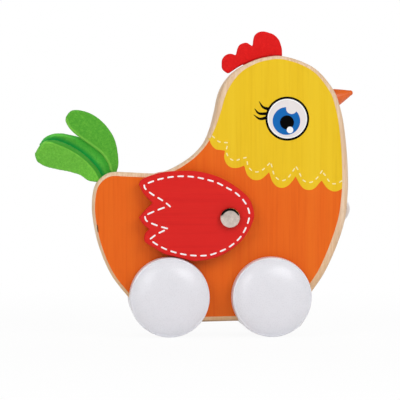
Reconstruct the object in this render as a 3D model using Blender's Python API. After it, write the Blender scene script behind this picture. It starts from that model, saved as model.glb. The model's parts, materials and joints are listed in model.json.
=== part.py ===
"""A pull-along chicken: a rounded wooden board with swinging wings, felt comb and tail, four wheels and a cord.

Metres, +Z up, +X toward the beak. The origin is on the floor under the middle of the toy.
Outlines are drawn in millimetres, x along the toy and z above a level line just under the axles.
"""

import math

import bmesh
import bpy
from mathutils import Matrix, Vector

MM = 0.001
FIT = 0.0003  # gap between two pieces that touch on the real toy

BOARD_THICKNESS = 0.022
BOARD_ROUNDING = 0.003

WHEEL_DIAMETER = 0.0448
WHEEL_WIDTH = 0.012
WHEEL_BORE_DEPTH = 0.008
WHEEL_TREAD = 0.0089  # from the back to the rim of the face
WHEEL_TAPER = 0.00035  # how much smaller the radius is at the face than at the back
WHEEL_LIP = 0.0008  # the rounding round the face
WHEEL_DOME = 0.0031  # how far the middle of the face stands out past its rim
REAR_AXLE_X = -0.0148
WHEELBASE = 0.0569
AXLE_DIAMETER = 0.006
WHEEL_WASHER_DIAMETER = 0.014
WHEEL_WASHER_THICKNESS = 0.001

PIVOT_X = 0.0186
PIVOT_ABOVE_AXLES = 0.04415
PIN_DIAMETER = 0.004
WING_THICKNESS = 0.005
WING_ROUNDING = 0.0008
WING_SPACER_DIAMETER = 0.012
WING_SPACER_THICKNESS = 0.002
CAP_DIAMETER = 0.0117
CAP_HEIGHT = 0.003
CAP_TOP = 0.0009
CAP_RIM_ROUNDING = 0.0008

FELT_THICKNESS = 0.003
COMB_SLOT_DEPTH = 0.0065
COMB_TAB_TAPER = 0.002  # how much narrower each side of the tab is at its foot
TAIL_SLOT_DEPTH = 0.008
TAIL_SLOT_WIDTH = 0.014
LEAF_FOOT_GAP = 0.0006  # between a leaf's foot and the bottom of the slot
LEAF_SPLAY = 0.0065  # how far the outer leaves bend sideways by 40 mm out
SLOT_REACH = 0.009  # how far a slot's cutter runs past the board's edge

BEAK_DIAMETER = 0.0100
BEAK_LENGTH = 0.0102
BEAK_TILT = 17.5  # degrees above level
BEAK_SEAT_DEPTH = 0.0009
BEAK_TENON_DIAMETER = 0.004
BEAK_TENON_LENGTH = 0.008
BEAK_TIP_RADIUS = 0.0015

CORD_DIAMETER = 0.0025
CORD_HOLE_DEPTH = 0.007
COIL_X = 0.0499
COIL_Y = 0.0620
COIL_OUTER_RADIUS = 0.0155  # to the middle of the cord
COIL_STEP = 0.00295  # from one turn, or layer, to the next
COIL_TURNS_PER_LAYER = 2
COIL_POINTS_PER_TURN = 24
BALL_DIAMETER = 0.018
BALL_X = 0.0495
BALL_Y = 0.0350
KNOT_DIAMETER = 0.0062

AXLE_HEIGHT = WHEEL_DIAMETER / 2
DRAWING_HEIGHT = AXLE_HEIGHT - 0.00005  # the level line of the outlines
PIVOT_Z = AXLE_HEIGHT + PIVOT_ABOVE_AXLES
FRONT_AXLE_X = REAR_AXLE_X + WHEELBASE
BOARD_FACE = BOARD_THICKNESS / 2
WHEEL_INNER_FACE = BOARD_FACE + FIT + WHEEL_WASHER_THICKNESS + FIT
WING_INNER_FACE = BOARD_FACE + FIT + WING_SPACER_THICKNESS + FIT
CAP_INNER_FACE = WING_INNER_FACE + WING_THICKNESS + FIT
PIN_HALF_LENGTH = CAP_INNER_FACE + CAP_HEIGHT - CAP_TOP - FIT

# Each outline is a list of smooth runs, and one run ends in a corner where the next begins.
BODY_RUNS = [
    [(40.0, -13.4), (51.5, -11.6), (59.0, -5.6), (66.1, 3.3), (73.3, 14.3), (80.2, 29.8), (84.4, 44.0),
     (85.8, 58.0), (85.9, 68.0), (85.2, 81.4), (83.4, 96.8), (81.0, 107.2), (77.9, 115.3), (69.5, 125.7),
     (60.2, 131.3), (48.5, 134.5), (39.4, 133.8), (31.7, 131.5), (24.0, 127.4), (17.7, 121.2), (13.7, 113.5),
     (11.4, 103.2), (8.6, 93.0), (4.6, 84.7), (-2.9, 77.3), (-13.0, 71.3), (-20.8, 68.9), (-28.0, 68.9),
     (-37.6, 69.4), (-46.6, 69.5), (-52.0, 67.0), (-55.8, 62.0), (-57.4, 54.6), (-57.2, 44.3), (-54.0, 28.8),
     (-47.4, 12.9), (-37.9, 0.3), (-29.0, -9.2), (-20.5, -13.6), (-10.0, -14.5)],
    [(-10.0, -14.5), (40.0, -13.4)],
]
WING_RUNS = [
    [(-50.5, 18.6), (-48.1, 21.7), (-38.4, 25.0), (-27.2, 26.1), (-16.1, 25.5), (-4.9, 22.1), (4.7, 16.3),
     (11.0, 10.3), (13.6, 2.2), (12.2, -3.8), (8.5, -10.4), (2.5, -16.4), (-4.9, -20.9), (-12.3, -23.2),
     (-19.8, -24.0), (-25.3, -22.8), (-31.7, -21.2), (-36.2, -20.1), (-41.6, -16.9), (-46.7, -13.7),
     (-47.6, -11.3)],
    [(-47.6, -11.3), (-47.0, -8.7), (-44.9, -6.3)],
    [(-44.9, -6.3), (-48.3, -3.3), (-50.4, 0.3)],
    [(-50.4, 0.3), (-46.6, 4.7), (-42.9, 8.2)],
    [(-42.9, 8.2), (-47.7, 13.3), (-50.5, 18.6)],
]
COMB_RUNS = [
    [(49.4, 134.9), (49.4, 137.5), (48.9, 140.6), (47.6, 143.9), (45.1, 146.6), (42.1, 147.9), (38.8, 148.6),
     (36.2, 148.1), (34.2, 146.5), (33.4, 144.0), (33.1, 140.0)],
    [(33.1, 140.0), (31.5, 141.0), (29.5, 142.2), (27.3, 141.9), (25.3, 140.7), (24.2, 138.2), (23.6, 134.8)],
    [(23.6, 134.8), (21.8, 135.7), (19.8, 136.0), (17.4, 135.0), (15.8, 132.8), (15.5, 130.3), (15.8, 127.7),
     (17.5, 126.0), (19.2, 125.2), (21.2, 126.4), (24.0, 128.3), (27.6, 130.3)],
]
COMB_TAB = [(27.6, 130.3), (49.4, 134.9)]  # where the comb enters its slot
# A leaf is its two long sides, each from the slot to the tip.
LEAF_SIDES = {
    "tail_leaf_upper": (
        [(-44.0, 69.2), (-42.8, 75.3), (-44.6, 86.8), (-49.4, 95.0), (-56.2, 101.1), (-63.5, 103.9),
         (-69.1, 103.8), (-72.0, 100.4)],
        [(-47.3, 70.4), (-48.6, 74.6), (-52.6, 80.2), (-58.6, 84.9), (-65.0, 89.4), (-69.6, 93.6),
         (-72.1, 97.6), (-72.2, 98.8)],
    ),
    "tail_leaf_far": (
        [(-45.8, 69.4), (-48.6, 76.0), (-54.6, 83.0), (-62.4, 88.0), (-70.4, 90.4), (-78.2, 91.0),
         (-83.9, 88.8), (-86.3, 84.7)],
        [(-51.6, 65.6), (-56.4, 70.4), (-61.6, 73.8), (-68.0, 76.6), (-74.6, 78.4), (-80.6, 80.2),
         (-85.0, 82.4), (-87.0, 84.0)],
    ),
    "tail_leaf_near": (
        [(-51.7, 66.0), (-55.5, 72.6), (-62.0, 79.0), (-70.1, 84.1), (-78.0, 87.0), (-83.9, 86.4),
         (-87.8, 82.0), (-88.7, 79.4)],
        [(-54.2, 64.1), (-56.8, 64.3), (-59.9, 65.0), (-63.9, 67.9), (-70.6, 70.1), (-77.7, 71.4),
         (-83.8, 73.0), (-88.0, 75.4), (-89.2, 78.2)],
    ),
}
LEAF_LAYERS = {"tail_leaf_upper": 0, "tail_leaf_far": 1, "tail_leaf_near": -1}
TAIL_SLOT_MOUTH = (-49.6, 66.9)
TAIL_SLOT_LEAN = 30.0  # degrees from upright
BEAK_BASE = (80.0, 111.6)
CORD_MOUTH = (84.5, 53.2)
CORD_HOLE_TILT = 45.0  # degrees below level, going out
# The free stretch from the breast, round behind the board and the front wheel, to the coil on the floor:
# x and z as in the outlines, y away from the board's middle.
CORD_ROUTE = [
    (86.6, 1.4, 50.9), (87.4, 4.0, 48.2), (87.1, 7.4, 45.6), (85.3, 11.0, 42.2), (82.2, 13.2, 38.0),
    (78.3, 13.8, 32.5), (74.1, 14.2, 25.6), (70.8, 15.7, 18.7), (68.9, 18.9, 11.8), (68.1, 23.1, 4.1),
    (67.8, 28.0, -2.6), (67.5, 33.2, -8.6), (66.8, 38.8, -13.8), (65.8, 44.4, -17.75), (65.0, 50.2, -20.05),
]
# From the coil's upper layer to the ball:
TAIL_ROUTE = [(34.2, 54.0, -17.75), (34.0, 47.8, -16.85), (34.1, 42.0, -15.25), (35.8, 37.0, -13.85)]


def colour_of(code):
    """Linear RGBA from an sRGB hex code."""
    parts = [int(code[i : i + 2], 16) / 255 for i in (0, 2, 4)]
    return [p / 12.92 if p <= 0.04045 else ((p + 0.055) / 1.055) ** 2.4 for p in parts] + [1.0]


def material(name, code, roughness, metallic=0.0):
    made = bpy.data.materials.new(name)
    made.use_nodes = True
    shader = made.node_tree.nodes["Principled BSDF"]
    shader.inputs["Base Color"].default_value = colour_of(code)
    shader.inputs["Roughness"].default_value = roughness
    shader.inputs["Metallic"].default_value = metallic
    return made


def put(name, bm, finish, smooth=35):
    """The bmesh as an object with its finish."""
    bmesh.ops.recalc_face_normals(bm, faces=bm.faces)
    mesh = bpy.data.meshes.new(name)
    bm.to_mesh(mesh)
    bm.free()
    mesh.shade_smooth()
    mesh.set_sharp_from_angle(angle=math.radians(smooth))
    obj = bpy.data.objects.new(name, mesh)
    bpy.context.scene.collection.objects.link(obj)
    if finish:
        mesh.materials.append(finish)
    return obj


def smooth_run(points, steps, closed=False):
    """Points on a Catmull-Rom curve through the given ones, with even steps between each two."""
    given = [Vector(p) for p in points]
    count = len(given)
    if closed:
        spans = [[given[(i + k) % count] for k in (-1, 0, 1, 2)] for i in range(count)]
    else:
        ends = [2 * given[0] - given[1]] + given + [2 * given[-1] - given[-2]]
        spans = [ends[i : i + 4] for i in range(count - 1)]
    found = []
    for a, b, c, d in spans:
        for k in range(steps):
            t = k / steps
            found.append(
                0.5 * (2 * b + (c - a) * t + (2 * a - 5 * b + 4 * c - d) * t**2 + (3 * b - a - 3 * c + d) * t**3)
            )
    return found if closed else found + [given[-1]]


def outline(runs, steps=2):
    """A closed outline from smooth runs, each ending where the next begins."""
    found = []
    for run in runs:
        found += (smooth_run(run, steps) if len(run) > 2 else [Vector(p) for p in run])[:-1]
    return found


def to_world(point, y=0.0, turn=0.0, middle=(0.0, 0.0)):
    """A drawn point (millimetres above the level line) in metres, first turned about a drawn middle."""
    x, z = point[0] - middle[0], point[1] - middle[1]
    x, z = x * math.cos(turn) + z * math.sin(turn), z * math.cos(turn) - x * math.sin(turn)
    return Vector(((x + middle[0]) * MM, y, (z + middle[1]) * MM + DRAWING_HEIGHT))


def plate(name, points, y_low, y_high, finish, rounding=0.0, segments=3):
    """A flat piece: points in the XZ plane, in metres, between two Y values, with its two rims rounded."""
    bm = bmesh.new()
    face = bm.faces.new([bm.verts.new((p.x, y_low, p.z)) for p in points])
    made = bmesh.ops.extrude_face_region(bm, geom=[face])["geom"]
    raised = [v for v in made if isinstance(v, bmesh.types.BMVert)]
    bmesh.ops.translate(bm, vec=(0, y_high - y_low, 0), verts=raised)
    obj = put(name, bm, finish)
    if rounding:
        bevel = obj.modifiers.new("rounded rims", "BEVEL")
        bevel.width = rounding
        bevel.segments = segments
        bevel.limit_method = "ANGLE"
        bevel.angle_limit = math.radians(60)
    return obj


def turned(name, profile, finish, sides=48, start=(0, 0, 0), direction=(0, 1, 0), smooth=35):
    """A piece turned on a lathe: (radius, distance along the axis) points, from end to end of the axis."""
    bm = bmesh.new()
    verts = [bm.verts.new((radius, 0, along)) for radius, along in profile]
    edges = [bm.edges.new(pair) for pair in zip(verts, verts[1:])]
    bmesh.ops.spin(
        bm, geom=verts + edges, cent=(0, 0, 0), axis=(0, 0, 1), dvec=(0, 0, 0), angle=math.tau, steps=sides,
        use_merge=True,
    )
    bmesh.ops.remove_doubles(bm, verts=bm.verts, dist=1e-6)
    turn = Vector((0, 0, 1)).rotation_difference(Vector(direction)).to_matrix().to_4x4()
    bmesh.ops.transform(bm, matrix=Matrix.Translation(Vector(start)) @ turn, verts=bm.verts)
    return put(name, bm, finish, smooth)


def cutter(obj):
    obj.hide_render = True
    obj.display_type = "WIRE"
    return obj


def cut(obj, tool):
    hole = obj.modifiers.new("cut " + tool.name, "BOOLEAN")
    hole.operation = "DIFFERENCE"
    hole.object = cutter(tool)


def bore(name, diameter, start, direction, length, sides=24):
    """A round cutter along a line."""
    radius = diameter / 2
    profile = [(0, 0), (radius, 0), (radius, length), (0, length)]
    return turned(name, profile, None, sides, start, direction)


def tube(name, points, diameter, finish, rounding):
    """A cord: a curve with a round section and filled ends."""
    curve = bpy.data.curves.new(name, "CURVE")
    curve.dimensions = "3D"
    curve.bevel_depth = diameter / 2
    curve.bevel_resolution = rounding
    curve.use_fill_caps = True
    spline = curve.splines.new("POLY")
    spline.points.add(len(points) - 1)
    for slot, point in zip(spline.points, points):
        slot.co = (*point, 1)
    obj = bpy.data.objects.new(name, curve)
    bpy.context.scene.collection.objects.link(obj)
    if finish:
        curve.materials.append(finish)
    return obj


def evenly(points, gap):
    """Points a steady distance apart along a line of points, both ends kept."""
    lengths = [(b - a).length for a, b in zip(points, points[1:])]
    count = max(1, round(sum(lengths) / gap))
    found, index, passed = [points[0]], 0, 0.0
    for k in range(1, count):
        target = sum(lengths) * k / count
        while passed + lengths[index] < target:
            passed += lengths[index]
            index += 1
        found.append(points[index].lerp(points[index + 1], (target - passed) / lengths[index]))
    return found + [points[-1]]


# The board

def make_board(finish):
    """The board with its axle, pin, beak and cord holes and its two felt slots."""
    points = [to_world(p) for p in outline(BODY_RUNS)]
    board = plate("body_board", points, -BOARD_FACE, BOARD_FACE, finish, BOARD_ROUNDING, 3)
    through = BOARD_THICKNESS + 2 * BOARD_ROUNDING
    holes = [
        ("rear axle hole", REAR_AXLE_X, AXLE_HEIGHT, AXLE_DIAMETER),
        ("front axle hole", FRONT_AXLE_X, AXLE_HEIGHT, AXLE_DIAMETER),
        ("pin hole", PIVOT_X, PIVOT_Z, PIN_DIAMETER),
    ]
    for name, x, z, diameter in holes:
        cut(board, bore(name, diameter + 2 * FIT, (x, -through / 2, z), (0, 1, 0), through))
    comb_slot = [to_world(p) for p in comb_tab(FIT / MM, SLOT_REACH / MM)]
    half = FELT_THICKNESS / 2 + FIT
    cut(board, plate("comb slot", comb_slot, -half, half, None))
    tail_slot = [to_world(p) for p in tail_slot_outline()]
    half = 1.5 * FELT_THICKNESS + 2 * FIT
    cut(board, plate("tail slot", tail_slot, -half, half, None))
    base, along = beak_line()
    seat = base - along * BEAK_SEAT_DEPTH
    cut(board, bore("beak seat", BEAK_DIAMETER + 2 * FIT, seat, along, BEAK_SEAT_DEPTH + BEAK_LENGTH))
    hole = seat - along * (BEAK_TENON_LENGTH + FIT)
    cut(board, bore("tenon hole", BEAK_TENON_DIAMETER + 2 * FIT, hole, along, BEAK_TENON_LENGTH + 2 * FIT))
    cut(board, cord_groove())
    return board


def comb_tab(margin, above):
    """The comb's tab, or with a margin its slot: drawn corners, from the foot to a height above the head."""
    left, right = (Vector(p) for p in COMB_TAB)
    along = (right - left).normalized()
    up = Vector((-along.y, along.x))
    depth, taper = COMB_SLOT_DEPTH / MM, COMB_TAB_TAPER / MM
    low = -up * (depth + margin)
    left_side, right_side = left - along * margin, right + along * margin
    return [
        left + along * (taper - margin) + low,
        right - along * (taper - margin) + low,
        right_side,
        right_side + up * above,
        left_side + up * above,
        left_side,
    ]


def slot_axes():
    """The tail slot's inward and sideways directions, drawn."""
    lean = math.radians(TAIL_SLOT_LEAN)
    inward = Vector((math.sin(lean), -math.cos(lean)))
    return inward, Vector((-inward.y, inward.x))


def tail_slot_outline():
    inward, across = slot_axes()
    mouth = Vector(TAIL_SLOT_MOUTH)
    half, depth, out = TAIL_SLOT_WIDTH / MM / 2, TAIL_SLOT_DEPTH / MM, SLOT_REACH / MM
    return [
        mouth - across * half + inward * depth,
        mouth + across * half + inward * depth,
        mouth + across * half - inward * out,
        mouth - across * half - inward * out,
    ]


# Felt

def make_comb(finish):
    drawn = outline(COMB_RUNS) + [Vector(COMB_TAB[0])]
    foot = comb_tab(0.0, 0.0)[:2]
    points = [to_world(p) for p in drawn + foot]
    half = FELT_THICKNESS / 2
    return plate("comb", points, -half, half, finish)


def make_leaf(name, finish, stations=14):
    """A felt leaf with a foot in the slot, bent sideways along its length if it is an outer one."""
    inward, _ = slot_axes()
    mouth = Vector(TAIL_SLOT_MOUTH)
    layer = LEAF_LAYERS[name]
    sides = []
    for side in LEAF_SIDES[name]:
        line = [Vector(p) for p in smooth_run(side, 6)]
        foot = line[0] + inward * ((TAIL_SLOT_DEPTH - LEAF_FOOT_GAP) / MM - (line[0] - mouth).dot(inward))
        middle = foot.lerp(line[0], 0.5)
        length = sum((b - a).length for a, b in zip(line, line[1:]))
        sides.append([foot, middle] + evenly(line, length / stations))
    bm = bmesh.new()
    rings = []
    for top, bottom in zip(*sides):
        out = max(0.0, -(top.lerp(bottom, 0.5) - mouth).dot(inward))
        y = layer * (FELT_THICKNESS + FIT + LEAF_SPLAY * (out / 40.0) ** 2)
        half = FELT_THICKNESS / 2
        corners = [(top, -half), (top, half), (bottom, half), (bottom, -half)]
        rings.append([bm.verts.new(to_world(p, y + side)) for p, side in corners])
    for a, b in zip(rings, rings[1:]):
        for k in range(4):
            bm.faces.new([a[k], a[(k + 1) % 4], b[(k + 1) % 4], b[k]])
    bm.faces.new(rings[0])
    bm.faces.new(rings[-1])
    return put(name, bm, finish)


# Beak

def beak_line():
    """The middle of the beak's base on the board's edge, and the way it points."""
    tilt = math.radians(BEAK_TILT)
    return to_world(BEAK_BASE), Vector((math.cos(tilt), 0, math.sin(tilt)))


def make_beak(finish):
    base, along = beak_line()
    radius, tenon = BEAK_DIAMETER / 2, BEAK_TENON_DIAMETER / 2
    low, tip = FIT - BEAK_SEAT_DEPTH, BEAK_TIP_RADIUS
    profile = [(0, low - BEAK_TENON_LENGTH), (tenon, low - BEAK_TENON_LENGTH), (tenon, low), (radius, low)]
    for k in range(5):
        share = k / 4
        along_axis = share * (BEAK_LENGTH - tip)
        profile.append((tip + (radius - tip) * (1 - share**1.12), along_axis))
    for k in range(1, 4):
        angle = math.radians(30 * k)
        profile.append((tip * math.cos(angle), BEAK_LENGTH - tip + tip * math.sin(angle)))
    profile[-1] = (0, BEAK_LENGTH)
    return turned("beak", profile, finish, 20, base, along)


# Wings

def tread_gap(drawn, turn):
    """The least distance from the wing's outline, turned about its pin, to the rear wheel, in metres."""
    axle = Vector((REAR_AXLE_X, 0, AXLE_HEIGHT))
    return min((wing_point(p, turn) - axle).length for p in drawn) - WHEEL_DIAMETER / 2


def wing_point(drawn, turn, y=0.0):
    """A wing point, drawn from the pin, turned clockwise as seen from the near side."""
    x, z = drawn.x * MM, drawn.y * MM
    x, z = x * math.cos(turn) + z * math.sin(turn), z * math.cos(turn) - x * math.sin(turn)
    return Vector((PIVOT_X + x, y, PIVOT_Z + z))


def rest_turn(drawn):
    """The turn at which the wing's lower edge lies on the rear wheel."""
    low, high = math.radians(-20), math.radians(60)
    for _ in range(40):
        middle = (low + high) / 2
        if tread_gap(drawn, middle) < FIT:
            low = middle
        else:
            high = middle
    return high


def make_wing(name, side, finish):
    drawn = outline(WING_RUNS)
    turn = rest_turn(drawn)
    inner, outer = side * WING_INNER_FACE, side * (WING_INNER_FACE + WING_THICKNESS)
    points = [wing_point(p, turn) for p in drawn]
    wing = plate(name, points, min(inner, outer), max(inner, outer), finish, WING_ROUNDING, 2)
    start = (PIVOT_X, min(inner, outer) - FIT, PIVOT_Z)
    hole = bore(name + " hole", PIN_DIAMETER + 2 * FIT, start, (0, 1, 0), WING_THICKNESS + 2 * FIT)
    cut(wing, hole)
    return wing


def ring(name, side, inner_face, thickness, outer, inner, finish, x, z):
    """A washer on the near side (-1) or the far side (1)."""
    chamfer = thickness / 5
    profile = [
        (inner, 0), (outer - chamfer, 0), (outer, chamfer), (outer, thickness - chamfer),
        (outer - chamfer, thickness), (inner, thickness), (inner, 0),
    ]
    return turned(name, profile, finish, 24, (x, side * inner_face, z), (0, side, 0))


def make_cap(name, side, finish):
    """A push-on cap: a flat top with a rounded rim and a blind bore for the pin."""
    radius, bore_radius, rim = CAP_DIAMETER / 2, PIN_DIAMETER / 2 + FIT, CAP_RIM_ROUNDING
    depth = CAP_HEIGHT - CAP_TOP
    profile = [(0, depth), (bore_radius, depth), (bore_radius, 0), (radius - rim / 4, 0), (radius, rim / 4)]
    for k in range(4):
        angle = math.radians(90 * k / 3)
        profile.append((radius - rim + rim * math.cos(angle), CAP_HEIGHT - rim + rim * math.sin(angle)))
    profile.append((0, CAP_HEIGHT))
    return turned(name, profile, finish, 28, (PIVOT_X, side * CAP_INNER_FACE, PIVOT_Z), (0, side, 0))


def rod(name, diameter, half_length, x, z, finish, sides=24):
    radius, chamfer = diameter / 2, diameter / 10
    profile = [
        (0, 0), (radius - chamfer, 0), (radius, chamfer), (radius, 2 * half_length - chamfer),
        (radius - chamfer, 2 * half_length), (0, 2 * half_length),
    ]
    return turned(name, profile, finish, sides, (x, -half_length, z), (0, 1, 0))


# Wheels

def make_wheel(name, side, x, finish):
    """A closed wheel: straight tread, rounded lip, domed face and a blind bore from behind."""
    radius, width, bore_radius = WHEEL_DIAMETER / 2, WHEEL_WIDTH, AXLE_DIAMETER / 2 + FIT
    back = 0.0012  # the rounding at the back
    face = radius - WHEEL_TAPER - WHEEL_LIP
    profile = [(0, WHEEL_BORE_DEPTH), (bore_radius, WHEEL_BORE_DEPTH), (bore_radius, 0), (radius - back, 0)]
    profile += [(radius - back * 0.3, back * 0.3), (radius, back)]
    for k in range(4):
        angle = math.radians(30 * k)
        profile.append((face + WHEEL_LIP * math.cos(angle), WHEEL_TREAD - WHEEL_LIP * (1 - math.sin(angle))))
    steps = 7
    for k in range(1, steps + 1):
        share = 1 - k / steps
        profile.append((face * share, width - WHEEL_DOME * share**4))
    return turned(name, profile, finish, 40, (x, side * WHEEL_INNER_FACE, AXLE_HEIGHT), (0, side, 0), 40)


# Cord

def cord_line():
    """The cord's hole: the mouth on the breast edge, and the way the cord leaves it."""
    tilt = math.radians(CORD_HOLE_TILT)
    return to_world(CORD_MOUTH), Vector((math.cos(tilt), 0, -math.sin(tilt)))


def coil_points():
    """The coil: in from its outer turn along the floor, up one layer, and out again on top."""
    layer, climb = COIL_TURNS_PER_LAYER, 0.5
    turns = 2 * layer + climb
    off_floor = 0.00005
    low = CORD_DIAMETER / 2 + off_floor
    found = []
    count = round(turns * COIL_POINTS_PER_TURN)
    for k in range(count + 1):
        turn = turns * k / count
        share = min(max((turn - layer) / climb, 0.0), 1.0)
        inward = min(turn, turns - turn)
        radius = COIL_OUTER_RADIUS - COIL_STEP * inward
        angle = math.tau * turn
        z = low + COIL_STEP * share * share * (3 - 2 * share)
        found.append(Vector((COIL_X + radius * math.cos(angle), COIL_Y + radius * math.sin(angle), z)))
    straight = Vector((0, CORD_DIAMETER, 0))
    return [found[0] - straight] + found + [found[-1] - straight]


def least_gap(points):
    """The least free space between one turn and another, measured on the coil's points."""
    apart = COIL_POINTS_PER_TURN // 2
    found = min((a - b).length for i, a in enumerate(points) for b in points[i + apart :])
    return found - CORD_DIAMETER


def stretch_points():
    """The free stretch, from the foot of its hole to the coil."""
    mouth, out = cord_line()
    start = mouth - out * CORD_HOLE_DEPTH
    route = [start, start.lerp(mouth, 0.5), mouth]
    route += [to_world((x, z), y * MM) for x, y, z in CORD_ROUTE]
    end = coil_points()[0] - Vector((0, FIT, 0))
    route += [end - Vector((0, CORD_DIAMETER, 0)), end]
    return evenly(smooth_run(route, 8), 1.05 * CORD_DIAMETER)


def cord_groove():
    """The hole in the breast edge and its eased lip, a little wider than the cord."""
    _, out = cord_line()
    points = stretch_points()
    points = [points[0] - out * FIT] + points[:7]
    guide = tube("cord groove guide", points, CORD_DIAMETER + 2.4 * FIT, None, 2)
    mesh = bpy.data.meshes.new_from_object(guide)
    bpy.data.objects.remove(guide)
    bm = bmesh.new()
    bm.from_mesh(mesh)
    bmesh.ops.remove_doubles(bm, verts=bm.verts, dist=1e-6)
    return put("cord groove", bm, None)


def tail_points():
    """The last stretch, from the coil through the ball to the knot."""
    start = coil_points()[-1] - Vector((0, FIT, 0))
    ball = ball_middle()
    radius = Vector((BALL_DIAMETER / 2, 0, 0))
    route = [start, start - Vector((0, CORD_DIAMETER, 0))]
    route += [to_world((x, z), y * MM) for x, y, z in TAIL_ROUTE]
    route += [ball - radius, ball, ball + radius]
    return evenly(smooth_run(route, 8), 1.05 * CORD_DIAMETER)


def ball_middle():
    return Vector((BALL_X, BALL_Y, BALL_DIAMETER / 2))


def make_ball(finish):
    """A wooden ball with a bore for the cord, which widens a little at both ends."""
    radius, hole = BALL_DIAMETER / 2, CORD_DIAMETER / 2 + FIT
    flare, flare_depth = 0.0006, 0.0008
    mouth = hole + flare
    edge = math.sqrt(radius**2 - mouth**2)
    start = math.degrees(math.atan2(mouth, edge))
    profile = [(hole, -edge + flare_depth)]
    steps = 10
    for k in range(steps + 1):
        angle = math.radians(start + (180 - 2 * start) * k / steps)
        profile.append((radius * math.sin(angle), -radius * math.cos(angle)))
    profile += [(hole, edge - flare_depth), (hole, -edge + flare_depth)]
    return turned("pull_ball", profile, finish, 20, ball_middle(), (1, 0, 0))


def make_knot(finish):
    """The stopper knot behind the ball, as a rounded lump."""
    radius, length = KNOT_DIAMETER / 2, 0.75 * KNOT_DIAMETER
    steps = 8
    profile = []
    for k in range(steps + 1):
        angle = math.pi * k / steps
        profile.append((radius * math.sin(angle), length / 2 * (1 - math.cos(angle))))
    profile[0], profile[-1] = (0, 0), (0, length)
    start = ball_middle() + Vector((BALL_DIAMETER / 2 + FIT, 0, 0))
    return turned("end_knot", profile, finish, 16, start, (1, 0, 0))


def build():
    for old in list(bpy.data.objects):
        bpy.data.objects.remove(old, do_unlink=True)
    orange = material("orange paint", "E66A20", 0.45)
    red = material("red paint", "DC2A28", 0.35)
    white = material("white enamel", "E4E4E8", 0.18)
    beak_paint = material("beak paint", "E8622A", 0.3)
    red_felt = material("red felt", "E02020", 0.95)
    nickel = material("satin nickel", "C8BEB4", 0.3, 1.0)
    steel = material("steel", "B8B8BC", 0.35, 1.0)
    birch = material("bare birch", "DEC4A0", 0.6)
    nylon = material("white nylon", "E8E8E4", 0.4)
    cord = material("white cord", "E6E2DE", 0.85)

    make_board(orange)
    make_beak(beak_paint)
    make_comb(red_felt)
    for number, name in enumerate(LEAF_SIDES):
        green = ["5AAE38", "2E9A3C", "58AC36"][number]
        make_leaf(name, material(name.replace("_", " ") + " felt", green, 0.95))
    for word, side in (("near", -1), ("far", 1)):
        make_wing("wing_" + word, side, red)
        ring(
            "wing_spacer_" + word, side, BOARD_FACE + FIT, WING_SPACER_THICKNESS, WING_SPACER_DIAMETER / 2,
            PIN_DIAMETER / 2 + FIT, nylon, PIVOT_X, PIVOT_Z,
        )
        make_cap("rivet_cap_" + word, side, nickel)
        for place, x in (("rear", REAR_AXLE_X), ("front", FRONT_AXLE_X)):
            make_wheel(f"wheel_{place}_{word}", side, x, white)
            ring(
                f"wheel_washer_{place}_{word}", side, BOARD_FACE + FIT, WHEEL_WASHER_THICKNESS,
                WHEEL_WASHER_DIAMETER / 2, AXLE_DIAMETER / 2 + FIT, nylon, x, AXLE_HEIGHT,
            )
    rod("wing_pin", PIN_DIAMETER, PIN_HALF_LENGTH, PIVOT_X, PIVOT_Z, steel)
    axle_half = WHEEL_INNER_FACE + WHEEL_BORE_DEPTH - FIT
    rod("axle_rear", AXLE_DIAMETER, axle_half, REAR_AXLE_X, AXLE_HEIGHT, birch)
    rod("axle_front", AXLE_DIAMETER, axle_half, FRONT_AXLE_X, AXLE_HEIGHT, birch)

    tube("pull_cord_stretch", stretch_points(), CORD_DIAMETER, cord, 2)
    tube("pull_cord_coil", coil_points(), CORD_DIAMETER, cord, 1)
    tube("pull_cord_tail", tail_points(), CORD_DIAMETER, cord, 2)
    make_ball(white)
    make_knot(cord)
    print(f"coil: least gap to itself {1000 * least_gap(coil_points()):.2f} mm")
    print(f"wing: rests turned by {math.degrees(rest_turn(outline(WING_RUNS))):.2f} degrees")


build()
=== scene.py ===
# A pull-along chicken toy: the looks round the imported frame.
# Metres, +Z up, +X toward the beak, the near flank at -Y. Outlines are drawn in millimetres, x along
# the toy and z above a level line just under the axles. The sizes in the pieces' dictionaries are
# millimetres too, apart from those of the cord, its ball and its knot.
import json
import math

import bmesh
import bpy
from mathutils import Matrix, Vector, noise

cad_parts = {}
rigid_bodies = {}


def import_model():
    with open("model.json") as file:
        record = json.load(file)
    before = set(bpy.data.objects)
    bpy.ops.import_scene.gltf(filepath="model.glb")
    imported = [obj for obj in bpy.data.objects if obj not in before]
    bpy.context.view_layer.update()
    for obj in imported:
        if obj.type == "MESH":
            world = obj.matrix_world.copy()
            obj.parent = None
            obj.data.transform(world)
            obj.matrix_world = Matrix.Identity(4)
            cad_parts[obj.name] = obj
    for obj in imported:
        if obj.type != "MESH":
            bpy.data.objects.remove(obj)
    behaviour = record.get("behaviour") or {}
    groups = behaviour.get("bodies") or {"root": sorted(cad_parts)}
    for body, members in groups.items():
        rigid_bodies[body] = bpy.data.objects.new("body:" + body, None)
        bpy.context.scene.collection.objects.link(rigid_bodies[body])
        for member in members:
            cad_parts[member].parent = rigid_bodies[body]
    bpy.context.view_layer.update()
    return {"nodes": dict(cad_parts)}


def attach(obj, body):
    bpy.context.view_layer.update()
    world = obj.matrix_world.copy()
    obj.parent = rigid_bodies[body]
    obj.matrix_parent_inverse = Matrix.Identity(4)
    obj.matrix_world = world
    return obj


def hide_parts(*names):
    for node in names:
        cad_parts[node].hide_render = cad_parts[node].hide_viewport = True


for leftOver in list(bpy.data.objects):
    bpy.data.objects.remove(leftOver)
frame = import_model()

mm = 0.001
hair = 1e-6  # metres; what is closer than this counts as one
drawingHeight = 0.02235  # of that level line over the floor
sides = {"near": -1, "far": 1}


# Camera

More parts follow.
